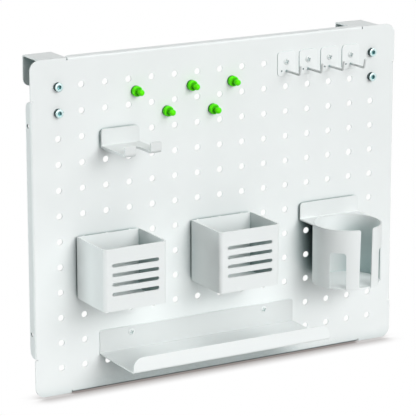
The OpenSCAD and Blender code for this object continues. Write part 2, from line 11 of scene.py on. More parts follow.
import bpy  # noqa: E402
from bpy.props import FloatProperty, FloatVectorProperty, PointerProperty  # noqa: E402
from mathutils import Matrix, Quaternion, Vector  # noqa: E402

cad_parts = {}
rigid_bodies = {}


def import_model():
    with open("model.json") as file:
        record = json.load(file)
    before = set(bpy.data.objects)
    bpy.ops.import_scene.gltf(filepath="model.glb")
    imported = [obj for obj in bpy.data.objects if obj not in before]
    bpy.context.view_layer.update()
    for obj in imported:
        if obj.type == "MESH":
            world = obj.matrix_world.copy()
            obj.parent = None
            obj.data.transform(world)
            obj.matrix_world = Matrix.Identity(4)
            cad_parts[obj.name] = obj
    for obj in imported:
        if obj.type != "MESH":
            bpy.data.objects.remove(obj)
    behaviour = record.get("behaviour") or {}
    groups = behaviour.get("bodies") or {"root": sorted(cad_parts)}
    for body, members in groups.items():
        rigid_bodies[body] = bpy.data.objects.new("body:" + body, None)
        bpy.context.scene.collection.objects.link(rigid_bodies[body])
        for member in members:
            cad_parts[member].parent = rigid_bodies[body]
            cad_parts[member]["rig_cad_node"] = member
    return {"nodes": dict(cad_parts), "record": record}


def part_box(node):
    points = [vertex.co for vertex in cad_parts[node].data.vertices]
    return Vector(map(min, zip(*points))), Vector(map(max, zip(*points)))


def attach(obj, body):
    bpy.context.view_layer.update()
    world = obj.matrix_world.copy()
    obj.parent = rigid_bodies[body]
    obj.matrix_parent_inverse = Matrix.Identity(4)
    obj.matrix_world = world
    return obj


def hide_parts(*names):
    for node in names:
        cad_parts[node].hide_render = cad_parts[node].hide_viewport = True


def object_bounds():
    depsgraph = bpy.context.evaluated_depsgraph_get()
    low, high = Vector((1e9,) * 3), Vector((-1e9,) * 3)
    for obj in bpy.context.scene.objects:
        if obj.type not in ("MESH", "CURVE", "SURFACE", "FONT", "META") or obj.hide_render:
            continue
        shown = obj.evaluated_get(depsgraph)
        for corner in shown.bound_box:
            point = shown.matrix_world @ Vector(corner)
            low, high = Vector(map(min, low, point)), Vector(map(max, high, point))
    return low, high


bl_info = {
    "name": "Pegboard Tool Wall",
    "version": (1, 0, 0),
    "blender": (4, 5, 0),
    "location": "3D View > Sidebar > Tool Wall",
    "description": "Finishes and small detail for a perforated desk-screen panel and its accessories",
    "category": "Object",
}

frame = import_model()
CAD_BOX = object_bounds()
NODES = frame["nodes"]
BODY_OF = {node: body for body, nodes in frame["record"]["behaviour"]["bodies"].items() for node in nodes}
SLOT_OF = {row["node"]: row["material_slot"] for row in frame["record"]["subparts"]}
MM = 0.001
SAME_PLACE = 0.001 * MM  # points closer than this become one
WHITE = (1, 1, 1)
MAGNETS = 5
KEY_HOOKS = 4
HEXAGON_HALF_TURN = math.radians(30)  # half the angle between two corners of a hexagon

COATED = [
    "panel", "hanger_left", "hanger_right", "shelf", "tool_holder", "cup_bracket", "cup_shell", "cup_base",
    *(f"bin_{side}_{part}" for side in ("left", "right") for part in ("wrap", "back", "floor")),
    *(f"key_plate_{i}" for i in range(1, KEY_HOOKS + 1)),
]
# Finishes of their own: most are the one white coat with its own painted tone and painted shade.
SPECIAL_FINISH = {
    "panel": "panel_coat",
    **dict.fromkeys(["hanger_left", "hanger_right"], "hanger_coat"),
    **dict.fromkeys(["bin_left_wrap", "bin_right_wrap"], "box_coat"),
    "cup_shell": "cup_coat",
    "cup_base": "cup_base_coat",
    "cup_bracket": "bracket_coat",
    "shelf": "shelf_coat",
    "tool_holder": "holder_coat",
    "pan_screws": "screw_coat",
    **dict.fromkeys([f"key_wire_{i}" for i in range(1, KEY_HOOKS + 1)], "wire_coat"),
}
HOOKS = ["bin_left_hooks", "bin_right_hooks", "cup_hooks", "tool_holder_hooks"]
BUMPERS = ["bin_left_bumpers", "bin_right_bumpers", "cup_bumper", "tool_holder_bumper"]


# ---- Settings ----


class CoatSettings(bpy.types.PropertyGroup):
    """The white powder coat"""

    colour: FloatVectorProperty(name="Coat colour", description="Colour of the powder coat", subtype="COLOR",
                                size=3, min=0, max=1, default=(0.80, 0.832, 0.828))
    roughness: FloatProperty(name="Roughness", description="Roughness of the cured coat", default=0.42,
                             min=0, max=1)
    grain: FloatProperty(name="Grain size", description="Size of the coat's orange-peel waves",
                         default=1.4 * MM, min=0.1 * MM, max=10 * MM, unit="LENGTH")
    depth: FloatProperty(name="Grain depth", description="Depth of the coat's orange-peel waves",
                         default=0.02 * MM, min=0, max=1 * MM, unit="LENGTH")
    # The corner tint and the reach and shade settings below set the shade painted into the coat's colour near
    # other surfaces.
    corner: FloatVectorProperty(name="Corner tint", description="Tint of a shaded corner", subtype="COLOR",
                                size=3, min=0, max=1, default=(0.75, 1.0, 1.0))
    panel_reach: FloatProperty(name="Panel reach",
                               description="Distance over which pieces in front shade the panel",
                               default=55 * MM, min=1 * MM, max=300 * MM, unit="LENGTH")
    panel_depth: FloatProperty(name="Panel shade", description="How dark the panel is behind close pieces",
                               default=0.03, min=0, max=1)
    box_reach: FloatProperty(name="Box reach",
                             description="Distance over which deep boxes shade themselves",
                             default=90 * MM, min=1 * MM, max=300 * MM, unit="LENGTH")
    box_depth: FloatProperty(name="Box shade", description="How dark the bins are at their darkest",
                             default=0.22, min=0, max=1)
    cup_reach: FloatProperty(name="Cup reach",
                             description="Distance over which the cup holder shades itself",
                             default=40 * MM, min=1 * MM, max=300 * MM, unit="LENGTH")
    cup_depth: FloatProperty(name="Cup shade", description="How dark the cup holder is at its darkest",
                             default=0.33, min=0, max=1)
    sheet_reach: FloatProperty(name="Sheet reach",
                               description="Distance over which open sheets shade themselves",
                               default=25 * MM, min=1 * MM, max=300 * MM, unit="LENGTH")
    sheet_depth: FloatProperty(name="Sheet shade", description="How dark open sheets are at their darkest",
                               default=0.75, min=0, max=1)
    edge: FloatProperty(name="Edge softness",
                        description="Width of the rounding that the coat gives a cut edge",
                        default=0.28 * MM, min=0.05 * MM, max=0.6 * MM, unit="LENGTH")


class HardwareSettings(bpy.types.PropertyGroup):
    """Screws, washers, nuts, hooks and bumpers"""

    bolt_head: FloatProperty(name="Socket head width", description="Diameter of the hanger screws' heads",
                             default=10 * MM, min=8 * MM, max=12 * MM, unit="LENGTH")
    bolt_head_height: FloatProperty(name="Socket head height",
                                    description="Height of the hanger screws' heads",
                                    default=5.6 * MM, min=4 * MM, max=7 * MM, unit="LENGTH")
    bolt: FloatProperty(name="Hanger screw shank", description="Shank diameter of the hanger screws",
                        default=6 * MM, min=4 * MM, max=8 * MM, unit="LENGTH")
    socket: FloatProperty(name="Socket", description="Key width of the hanger screws",
                          default=5 * MM, min=3 * MM, max=6 * MM, unit="LENGTH")
    pan_head: FloatProperty(name="Pan head width", description="Diameter of the pan heads", default=8 * MM,
                            min=6 * MM, max=11 * MM, unit="LENGTH")
    pan_head_height: FloatProperty(name="Pan head height", description="Height of the pan heads",
                                   default=1.6 * MM, min=1 * MM, max=4 * MM, unit="LENGTH")
    pan_shank: FloatProperty(name="Pan screw shank", description="Shank diameter of the pan screws",
                             default=5 * MM, min=3 * MM, max=6 * MM, unit="LENGTH")
    recess: FloatProperty(name="Cross recess", description="Width across the cross recess", default=5 * MM,
                          min=2 * MM, max=5 * MM, unit="LENGTH")
    zinc: FloatVectorProperty(name="Zinc colour", description="Colour of the zinc plate", subtype="COLOR",
                              size=3, min=0, max=1, default=(0.60, 0.76, 0.76))
    zinc_roughness: FloatProperty(name="Zinc roughness", description="Roughness of the zinc plate",
                                  default=0.3, min=0, max=1)
    rubber: FloatVectorProperty(name="Rubber colour", description="Colour of the bumpers", subtype="COLOR",
                                size=3, min=0, max=1, default=(0.03, 0.03, 0.032))


class WireSettings(bpy.types.PropertyGroup):
    """The wires of the key hooks"""

    reach: FloatProperty(name="Wire reach", description="Reach of the wire from its plate to its bend",
                         default=30 * MM, min=15 * MM, max=50 * MM, unit="LENGTH")
    bend: FloatProperty(name="Wire bend", description="Radius of the bend", default=3 * MM, min=2 * MM,
                        max=8 * MM, unit="LENGTH")
    turn: FloatProperty(name="Wire turn", description="Angle through which the wire turns up",
                        subtype="ANGLE", default=math.radians(79), min=math.radians(30),
                        max=math.radians(90))
    tip: FloatProperty(name="Wire end", description="Length of the upturned end",
                       default=7.6 * MM, min=2 * MM, max=20 * MM, unit="LENGTH")


class MagnetSettings(bpy.types.PropertyGroup):
    """The moulded magnets"""

    foot_height: FloatProperty(name="Foot height", description="Height of a magnet's foot",
                               default=6.4 * MM, min=4 * MM, max=9 * MM, unit="LENGTH")
    waist: FloatProperty(name="Waist", description="Diameter of a magnet's waist", default=4.8 * MM,
                         min=4 * MM, max=8 * MM, unit="LENGTH")
    knob: FloatProperty(name="Knob", description="Diameter of a magnet's knob",
                        default=7.6 * MM, min=6 * MM, max=10 * MM, unit="LENGTH")
    colour: FloatVectorProperty(name="Magnet colour", description="Colour of the moulded caps",
                                subtype="COLOR", size=3, min=0, max=1, default=(0.115, 0.90, 0.004))
    roughness: FloatProperty(name="Roughness", description="Roughness of the moulded caps", default=0.34,
                             min=0, max=1)


class StageSettings(bpy.types.PropertyGroup):
    """Floor, light and camera"""

    lens: FloatProperty(name="Lens", description="Focal length of the camera", default=207.12,
                        min=50, max=400)
    camera_place: FloatVectorProperty(name="Camera place", description="Where the camera stands",
                                      subtype="XYZ", unit="LENGTH", size=3,
                                      default=(-1.36744, -2.39431, 0.50581))
    camera_aim: FloatVectorProperty(name="Camera aim", description="Direction in which the camera looks",
                                    subtype="DIRECTION", size=3, default=(0.48097, 0.84074, -0.24864))
    floor_gap: FloatProperty(name="Floor gap",
                             description="Gap between the panel's lowest edge and the floor",
                             default=2 * MM, min=0, max=50 * MM, unit="LENGTH")
    key: FloatProperty(name="Key light",
                       description="Strength of the light from the front and above right",
                       default=0.95, min=0, max=10)
    front: FloatProperty(name="Front light", description="Strength of the low light from the front",
                         default=1.74, min=0, max=10)
    side: FloatProperty(name="Side light", description="Strength of the low light from the left",
                        default=2.05, min=0, max=10)
    top: FloatProperty(name="Top light", description="Strength of the light from above",
                       default=1.0, min=0, max=10)
    softness: FloatProperty(name="Softness", description="Angle over which each light spreads",
                            subtype="ANGLE", default=math.radians(32), min=0, max=math.radians(90))
    sky: FloatProperty(name="Ambient", description="Strength of the light from all round",
                       default=0.02, min=0, max=5)


# ---- Materials ----


# Painted shade: the share of the zinc's colour left on the knurled sides of the socket heads.
SHADED_SIDE_TONE = 0.14
# Painted shade: the colour painted into the zinc in its recesses and sockets.
ZINC_PAINTED_SHADE = (0.16, 0.26, 0.27)
# Painted shade: the colour painted into the magnets' waists, where the knob's shadow falls.
GREEN_PAINTED_SHADE = (0.02, 0.06, 0.015)
WORN_NICKEL, BRIGHT_NICKEL = (0.56, 0.55, 0.52), (0.70, 0.69, 0.66)
FINISHES = {}


class CoatKind(NamedTuple):
    """What sets one kind of coated surface apart from the others.

    Shade is painted into its colour where its neighbours stand within reach, down to depth. The painted shade
    is full where the share of open sky round a point is dark_at, and gone where it is clear_at. With across,
    a pair of places on X, the painted shade grows from the first place to the second. Its tone paints the
    whole surface lighter or darker, as painted light or painted shade."""

    surface: str
    reach: float
    depth: float
    dark_at: float = 0.0
    clear_at: float = 0.5
    tone: float = 1.0
    across: tuple = ()


def coat_kinds(coat):
    """Every kind of coated surface, by the name of its finish."""
    sheet, faint = coat.sheet_reach, 0.95
    # Each tone is painted light or painted shade: the one white coat made lighter or darker by how light
    # falls on the piece.
    return {
        "white_coat": CoatKind("sheet", sheet, coat.sheet_depth, tone=1.04),
        "panel_coat": CoatKind("panel", coat.panel_reach, coat.panel_depth, dark_at=0.24, clear_at=0.575),
        "hanger_coat": CoatKind("hanger", coat.panel_reach, depth=0.1, dark_at=0.3, clear_at=0.72, tone=0.95),
        "box_coat": CoatKind("box", coat.box_reach, coat.box_depth, dark_at=0.06, clear_at=0.4, tone=0.97),
        "cup_coat": CoatKind("cup", coat.cup_reach, coat.cup_depth),
        # Painted shade on the inside of the cup's wall, growing towards its right side.
        "cup_inner_coat": CoatKind("cup_inside", 2 * coat.cup_reach, depth=0.3, dark_at=0.1, clear_at=0.62,
                                   across=right_half("cup_base")),
        "cup_base_coat": CoatKind("cup_base", sheet, coat.sheet_depth, tone=1.02),
        "bracket_coat": CoatKind("bracket", sheet, faint, clear_at=0.4, tone=0.95),
        "holder_coat": CoatKind("holder", sheet, faint, clear_at=0.4, tone=0.9),
        "shelf_coat": CoatKind("shelf", sheet, faint, clear_at=0.3, tone=1.03),
        # Painted shade: the shelf's back is darker, standing in for the shade of the bins above it.
        "shelf_back_coat": CoatKind("shelf_back", sheet, faint, clear_at=0.3, tone=0.82),
        "screw_coat": CoatKind("screws", 3 * MM, depth=0.3, dark_at=0.2, clear_at=0.85, tone=0.94),
        # Painted shade: the wires are darker, standing in for their shaded sides.
        "wire_coat": CoatKind("wires", 8 * MM, depth=0.5, dark_at=0.3, clear_at=0.95, tone=0.74),
    }


def finish_of(finish):
    """The Blender material for one of the record's material slots, or for a special kind of it."""
    if finish not in FINISHES:
        scene = bpy.context.scene
        kinds = coat_kinds(scene.tool_wall_coat)
        if finish in kinds:
            FINISHES[finish] = powder_coat(scene.tool_wall_coat, kinds[finish])
        else:
            FINISHES[finish] = {
                "zinc_plate": lambda: zinc_plate(scene.tool_wall_hardware, "bright_zinc_plate"),
                "zinc_dark": lambda: zinc_plate(scene.tool_wall_hardware, "oiled_dark_zinc", SHADED_SIDE_TONE),
                "bumper_rubber": lambda: bumper_rubber(scene.tool_wall_hardware),
                "green_plastic": lambda: magnet_plastic(scene.tool_wall_magnets),
                "magnet_nickel": magnet_nickel,
            }[finish]()
    return FINISHES[finish]


def right_half(node):
    """The places on X of a node's middle and its right side."""
    low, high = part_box(node)
    return (low.x + high.x) / 2, high.x


def powder_coat(settings, kind):
    """The white coat, with shade painted into its colour near other surfaces, and its kind's tone as painted
    light or shade.
    """
    material, nodes, links, shader = new_material("white_powder_coat_on_" + kind.surface)
    grain = noise(nodes, links, scale=1 / settings.grain, detail=3)
    clouds = noise(nodes, links, scale=14, detail=2)
    darker, lighter, unevenness = 0.985, 1.01, 0.05
    colour = tinted(nodes, links, clouds, toned(settings.colour, darker * kind.tone),
                    toned(settings.colour, lighter * kind.tone))
    links.new(with_painted_shade(nodes, links, colour, kind.reach, toned(settings.corner, kind.depth), kind.dark_at,
                       kind.clear_at, kind.across), shader.inputs["Base Color"])
    roughened(nodes, links, grain, settings.roughness - unevenness, settings.roughness + unevenness, shader)
    bumped(nodes, links, grain, settings.depth, shader)
    return material


def zinc_plate(settings, name, tone=1.0):
    """Zinc plate with painted shade in its recesses and sockets; a tone below 1 paints it darker all over, as
    painted shade.
    """
    material, nodes, links, shader = new_material(name)
    shader.inputs["Metallic"].default_value = 1.0
    mottle = noise(nodes, links, scale=900, detail=4)
    colour = tinted(nodes, links, mottle, toned(settings.zinc, 0.9 * tone), toned(settings.zinc, 1.08 * tone))
    links.new(with_painted_shade(nodes, links, colour, 4 * MM, ZINC_PAINTED_SHADE, dark_at=0.3, clear_at=0.9),
              shader.inputs["Base Color"])
    roughened(nodes, links, mottle, settings.zinc_roughness - 0.08, settings.zinc_roughness + 0.1, shader)
    bumped(nodes, links, mottle, 0.01 * MM, shader)
    return material


def bumper_rubber(settings):
    """Dull black rubber with a fine grain."""
    material, nodes, links, shader = new_material("black_rubber")
    grain = noise(nodes, links, scale=1500, detail=3)
    links.new(tinted(nodes, links, grain, toned(settings.rubber, 0.7), toned(settings.rubber, 1.4)),
              shader.inputs["Base Color"])
    roughened(nodes, links, grain, 0.7, 0.9, shader)
    bumped(nodes, links, grain, 0.03 * MM, shader)
    return material


def magnet_plastic(settings):
    """Bright moulded plastic, with painted shade in the waist under the knob."""
    material, nodes, links, shader = new_material("green_moulded_plastic")
    swirl = noise(nodes, links, scale=260, detail=2)
    colour = tinted(nodes, links, swirl, toned(settings.colour, 0.95), toned(settings.colour, 1.04))
    links.new(with_painted_shade(nodes, links, colour, 5 * MM, GREEN_PAINTED_SHADE, dark_at=0.58, clear_at=0.95),
              shader.inputs["Base Color"])
    mottle = noise(nodes, links, scale=2200, detail=3)
    roughened(nodes, links, mottle, settings.roughness - 0.06, settings.roughness + 0.08, shader)
    shader.inputs["Specular IOR Level"].default_value = 0.08
    return material


def magnet_nickel():
    """The warm nickel plate of the magnet discs."""
    material, nodes, links, shader = new_material("nickel_plate")
    shader.inputs["Metallic"].default_value = 1.0
    mottle = noise(nodes, links, scale=1200, detail=3)
    links.new(tinted(nodes, links, mottle, WORN_NICKEL, BRIGHT_NICKEL), shader.inputs["Base Color"])
    roughened(nodes, links, mottle, 0.15, 0.3, shader)
    return material


def new_material(name):
    """A material with a Principled shader; returns it with its nodes, its links and the shader."""
    material = bpy.data.materials.new(name)
    material.use_nodes = True
    tree = material.node_tree
    return material, tree.nodes, tree.links, tree.nodes["Principled BSDF"]


def noise(nodes, links, scale, detail):
    """A noise pattern on object coordinates; scale counts its waves in a metre."""
    place = nodes.new("ShaderNodeTexCoord")
    waves = nodes.new("ShaderNodeTexNoise")
    waves.inputs["Scale"].default_value = scale
    waves.inputs["Detail"].default_value = detail
    links.new(place.outputs["Object"], waves.inputs["Vector"])
    return waves.outputs["Fac"]


def ramp_of(nodes, links, factor, stops):
    """A colour that follows the factor through stops, each a place and a colour, in rising order."""
    ramp = nodes.new("ShaderNodeValToRGB")
    elements = ramp.color_ramp.elements
    while len(elements) < len(stops):
        elements.new(0.5)
    for index, (place, colour) in enumerate(stops):
        elements[index].position = place
        elements[index].color = (*colour, 1)
    links.new(factor, ramp.inputs["Fac"])
    return ramp.outputs["Color"]


def tinted(nodes, links, factor, low, high):
    """A colour that runs from low to high as a noise pattern does."""
    return ramp_of(nodes, links, factor, [(0.35, low), (0.65, high)])


def roughened(nodes, links, factor, low, high, shader):
    """Gives the shader a roughness that runs from low to high as a noise pattern does."""
    limits = nodes.new("ShaderNodeMapRange")
    limits.inputs["From Min"].default_value, limits.inputs["From Max"].default_value = 0.3, 0.7
    limits.inputs["To Min"].default_value, limits.inputs["To Max"].default_value = low, high
    links.new(factor, limits.inputs["Value"])
    links.new(limits.outputs["Result"], shader.inputs["Roughness"])


def bumped(nodes, links, height, depth, shader):
    """Raises the surface by a height pattern of the given depth."""
    bump = nodes.new("ShaderNodeBump")
    bump.inputs["Strength"].default_value = 1.0
    bump.inputs["Distance"].default_value = depth
    links.new(height, bump.inputs["Height"])
    links.new(bump.outputs["Normal"], shader.inputs["Normal"])


def toned(colour, amount):
    """The colour made darker or lighter by a share."""
    return tuple(min(1.0, channel * amount) for channel in colour)


def sky_share(nodes, reach, samples):
    """The share of open sky round a point, counting only what stands within reach."""
    share = nodes.new("ShaderNodeAmbientOcclusion")
    share.inputs["Distance"].default_value = reach
    share.samples = samples
    return share.outputs["AO"]


def with_painted_shade(nodes, links, colour, reach, corner, dark_at, clear_at, across=()):
    """The colour with painted shade: it turns cooler and then towards the corner colour near crowding
    surfaces.
    """
    red, green, blue = [(channel + 1) / 2 for channel in corner]
    # Painted shade: cooler halfway in, and the corner colour where the open sky is least.
    shade = ramp_of(nodes, links, sky_share(nodes, reach, samples=12), [
        (dark_at, corner), ((dark_at + clear_at) / 2, (red * 0.84, green, blue)), (clear_at, WHITE)])
    mix = nodes.new("ShaderNodeMix")
    mix.data_type = "RGBA"
    mix.blend_type = "MULTIPLY"
    mix.inputs["Factor"].default_value = 1.0
    if across:
        place = nodes.new("ShaderNodeTexCoord")
        parts = nodes.new("ShaderNodeSeparateXYZ")
        growth = nodes.new("ShaderNodeMapRange")
        growth.interpolation_type = "SMOOTHSTEP"
        growth.inputs["From Min"].default_value, growth.inputs["From Max"].default_value = across
        links.new(place.outputs["Object"], parts.inputs["Vector"])
        links.new(parts.outputs["X"], growth.inputs["Value"])
        links.new(growth.outputs["Result"], mix.inputs["Factor"])
    links.new(colour, mix.inputs["A"])
    links.new(shade, mix.inputs["B"])
    return mix.outputs["Result"]



# ---- Modelling helpers ----


def only(piece):
    """Makes the piece the one that is selected and active."""
    bpy.ops.object.select_all(action="DESELECT")
    piece.select_set(True)
    bpy.context.view_layer.objects.active = piece


def apply_modifier(piece, kind, **values):
    """Gives the active piece a modifier with these values, and applies it."""
    modifier = piece.modifiers.new(kind.title(), kind)
    for name, value in values.items():
        setattr(modifier, name, value)
    bpy.ops.object.modifier_apply(modifier=modifier.name)


def dress(piece, name, node):
    """Names a finished piece, gives it its finish and lets it stand for a CAD node on that node's body."""
    piece.name = piece.data.name = name
    piece.data.materials.clear()
    piece.data.materials.append(finish_of(SPECIAL_FINISH.get(node, SLOT_OF[node])))
    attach(piece, BODY_OF[node])
    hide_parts(node)


def turned(name, at, profile, steps=48):
    """A shape turned on a lathe. The profile's points are (radius, height); heights run towards the front."""
    (radius, height), *rest = profile
    bpy.ops.object.select_all(action="DESELECT")
    bpy.ops.mesh.primitive_plane_add(size=MM, location=(at.x + radius, at.y - height, at.z))
    piece = bpy.context.object
    piece.name = name
    bpy.ops.object.transform_apply(location=True, rotation=True, scale=True)
    bpy.context.tool_settings.mesh_select_mode = (True, False, False)
    bpy.ops.object.mode_set(mode="EDIT")
    bpy.ops.mesh.select_all(action="SELECT")
    bpy.ops.mesh.merge(type="CENTER")
    for next_radius, next_height in rest:
        step = (next_radius - radius, height - next_height, 0)
        bpy.ops.mesh.extrude_region_move(TRANSFORM_OT_translate={"value": step})
        radius, height = next_radius, next_height
    bpy.ops.mesh.select_all(action="SELECT")
    bpy.ops.mesh.spin(steps=steps, angle=math.tau, center=at, axis=(0, 1, 0))
    bpy.ops.mesh.select_all(action="SELECT")
    bpy.ops.mesh.remove_doubles(threshold=SAME_PLACE)
    bpy.ops.mesh.normals_make_consistent(inside=False)
    bpy.ops.object.mode_set(mode="OBJECT")
    return piece


def arc(radius, height, size, start, end, steps):
    """Points (radius, height) along an arc of the given size, between two angles in degrees."""
    angles = [math.radians(start + (end - start) * step / steps) for step in range(steps + 1)]
    return [(radius + size * math.cos(angle), height + size * math.sin(angle)) for angle in angles]


def corner_radius(across):
    """The distance from the middle of a hexagon to its corners, from its width across two flats."""
    return across / 2 / math.cos(HEXAGON_HALF_TURN)


def hexagon(at, across, low, high, turn):
    """A hexagonal prism about the front-to-back line through at, from height low to height high."""
    bpy.ops.object.select_all(action="DESELECT")
    bpy.ops.mesh.primitive_cylinder_add(vertices=6, radius=corner_radius(across), depth=high - low,
                                        location=(at.x, at.y - (low + high) / 2, at.z),
                                        rotation=(math.radians(90), turn, 0))
    bpy.ops.object.transform_apply(location=True, rotation=True, scale=True)
    return bpy.context.object


def bar(at, width, thickness, low, high):
    """A bar across the front-to-back line through at, for cutting a slot."""
    bpy.ops.object.select_all(action="DESELECT")
    bpy.ops.mesh.primitive_cube_add(size=1, location=(at.x, at.y - (low + high) / 2, at.z),
                                    scale=(width, high - low, thickness))
    bpy.ops.object.transform_apply(location=True, rotation=True, scale=True)
    return bpy.context.object


def combine(piece, other, operation):
    """Cuts the piece with the other one or keeps what both share; the other one is used up."""
    only(piece)
    apply_modifier(piece, "BOOLEAN", object=other, operation=operation, solver="EXACT")
    bpy.data.objects.remove(other)


def softened(piece, width, segments=2, angle=30):
    """Rounds the edges that are sharper than an angle in degrees, and smooths the piece's shading."""
    only(piece)
    apply_modifier(piece, "BEVEL", width=width, segments=segments, limit_method="ANGLE",
                   angle_limit=math.radians(angle), use_clamp_overlap=True)
    bpy.ops.object.shade_smooth_by_angle(angle=math.radians(42))
    apply_modifier(piece, "WEIGHTED_NORMAL", keep_sharp=True, weight=80)


def finished_copy(node, edge, segments=2):
    """A copy of a CAD node whose sharp edges are rounded by the given width."""
    only(NODES[node])
    bpy.ops.object.duplicate()
    piece = bpy.context.object
    del piece["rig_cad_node"]
    bpy.ops.object.mode_set(mode="EDIT")
    bpy.ops.mesh.select_all(action="SELECT")
    bpy.ops.mesh.remove_doubles(threshold=SAME_PLACE)
    bpy.ops.mesh.dissolve_limited(angle_limit=math.radians(0.3))
    bpy.ops.object.mode_set(mode="OBJECT")
    apply_modifier(piece, "BEVEL", width=edge, segments=segments, limit_method="ANGLE",
                   angle_limit=math.radians(32), use_clamp_overlap=True)
    bpy.ops.object.shade_smooth_by_angle(angle=math.radians(50))
    apply_modifier(piece, "WEIGHTED_NORMAL", keep_sharp=True, weight=100)
    dress(piece, node + "_finished", node)
    return piece


def in_places(piece, first, places, name, node):
    """Copies a piece modelled at first to every place, joins the copies and dresses them as the node."""
    copies = []
    for place in places:
        only(piece)
        bpy.ops.object.duplicate()
        copy = bpy.context.object
        bpy.ops.transform.translate(value=Vector(place) - Vector(first))
        bpy.ops.object.transform_apply(location=True, rotation=True, scale=True)
        copies.append(copy)
    bpy.data.objects.remove(piece)
    bpy.ops.object.select_all(action="DESELECT")
    for copy in copies:
        copy.select_set(True)
    bpy.context.view_layer.objects.active = copies[0]
    bpy.ops.object.join()
    joined = bpy.context.object
    dress(joined, name, node)
    return joined


def pick_faces(piece, wanted):
    """Opens a piece for editing with those faces selected for which wanted is true."""
    only(piece)
    bpy.context.tool_settings.mesh_select_mode = (False, False, True)
    bpy.ops.object.mode_set(mode="EDIT")
    bpy.ops.mesh.select_all(action="DESELECT")
    bpy.ops.object.mode_set(mode="OBJECT")
    for face in piece.data.polygons:
        face.select = wanted(face)
    bpy.ops.object.mode_set(mode="EDIT")


def refinish(piece, finish, wanted):
    """Gives another finish to the faces for which wanted is true."""
    piece.data.materials.append(finish_of(finish))
    pick_faces(piece, wanted)
    piece.active_material_index = 1
    bpy.ops.object.material_slot_assign()
    bpy.ops.object.mode_set(mode="OBJECT")


# ---- Coated sheets ----


def inside_cup(face):
    """Whether a face is on the hollow side of the cup holder's wall, which takes the painted shade of the
    cup's inside.
    """
    low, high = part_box("cup_base")
    outwards = face.center - (low + high) / 2
    outwards.z = 0
    facing_in = -0.6
    return face.normal.dot(outwards.normalized()) < facing_in


def on_shelf_back(face):
    """Whether a face is on the front of the shelf's upright back, or in the bend below it, which takes its
    painted shade.
    """
    bend_depth, facing_front = 8 * MM, -0.25
    return face.normal.y < facing_front and face.center.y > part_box("shelf")[1].y - bend_depth


class TOOLWALL_OT_coated(bpy.types.Operator):
    """Rounds the cut edges of the coated sheets and gives them their powder coat, with painted shade inside
    the cup and on the shelf's back
    """

    bl_idname = "tool_wall.coated"
    bl_label = "Coated Sheets"

    def execute(self, context):
        for node in COATED:
            piece = finished_copy(node, context.scene.tool_wall_coat.edge)
            if node == "cup_shell":
                # Painted shade on the inside of the cup's wall.
                refinish(piece, "cup_inner_coat", inside_cup)
            elif node == "shelf":
                # Painted shade on the shelf's back.
                refinish(piece, "shelf_back_coat", on_shelf_back)
        return {"FINISHED"}


# ---- Screws, washers and nuts ----


WASHER_RADIUS = 6 * MM
SCREW_CLEARANCE = 0.06 * MM
KNURL_STEP = math.radians(5)
PAST_HEAD = 1 * MM


def threads(radius, start, end, pitch, depth):
    """Profile of a threaded shank, drawn as even rings from start to end."""
    points, height = [], start
    while height - pitch > end:
        points += [(radius, height), (radius - depth, height - pitch / 2)]
        height -= pitch
    return [*points, (radius, height), (radius, end + depth), (radius - depth, end), (0, end)]


def socket_screw_profile(radius, height, shank, end):
    """Half section of a socket screw: a head with rounded rims, and its threaded shank."""
    rim, rim_height = 0.7 * MM, 0.5 * MM
    rim_middle, rim_middle_height = 0.25 * MM, 0.15 * MM
    foot, foot_height = 0.3 * MM, 0.35 * MM
    return [
        (0, height), (radius - rim, height), (radius - rim_middle, height - rim_middle_height),
        (radius, height - rim_height), (radius, foot_height), (radius - foot, 0), (shank, 0),
        *threads(shank, start=-0.8 * MM, end=end, pitch=1.0 * MM, depth=0.45 * MM)]


def pan_screw_profile(radius, height, shank, end):
    """Half section of a pan screw: a low dome over a short side, and its threaded shank."""
    side, undercut = 0.25 * MM, 0.05 * MM
    rise = height - side
    dome = (radius ** 2 + rise ** 2) / (2 * rise)
    lean = math.degrees(math.acos(radius / dome))
    return [
        *reversed(arc(0, height - dome, dome, lean, 90, steps=8)), (radius - undercut, 0), (shank, 0),
        *threads(shank, start=-0.6 * MM, end=end, pitch=0.8 * MM, depth=0.35 * MM)]


def knurl(screw, at, radius, height):
    """Presses a knurl into the side of a socket screw's head."""
    below, above = 0.5 * MM, 0.6 * MM
    upright, inner_radius = 0.05, radius * 0.98

    def in_groove(face):
        middle = face.center - at
        on_side = abs(face.normal.y) < upright and math.hypot(middle.x, middle.z) > inner_radius
        step = round(math.atan2(middle.z, middle.x) / KNURL_STEP - 0.5)
        return on_side and below < -middle.y < height - above and step % 2 == 0

    pick_faces(screw, in_groove)
    bpy.ops.mesh.inset(thickness=0.08 * MM, depth=-0.22 * MM, use_individual=True)
    bpy.ops.object.mode_set(mode="OBJECT")


def on_head_side(face, places, radius):
    """Whether a face is on the knurled side of one of the heads, where the zinc is painted darker as painted
    shade.
    """
    upright, inner_radius = 0.35, radius * 0.93
    place = min(places, key=lambda spot: (face.center - spot).length)
    middle = face.center - place
    on_side = abs(face.normal.y) < upright and math.hypot(middle.x, middle.z) > inner_radius
    return on_side and -middle.y > 0


def cut_cross(screw, at, width, height):
    """Cuts a cross recess into the top of a pan screw's head."""
    depth, arm_width, turn = 1.25 * MM, width * 0.3, 20
    for quarter in (0, 90):
        arm = bar(at, width, arm_width, height - depth, height + PAST_HEAD)
        only(arm)
        bpy.ops.object.mode_set(mode="EDIT")
        bpy.ops.mesh.select_all(action="SELECT")
        bpy.ops.transform.rotate(value=math.radians(quarter + turn), orient_axis="Y", center_override=at)
        bpy.ops.object.mode_set(mode="OBJECT")
        combine(screw, arm, "DIFFERENCE")


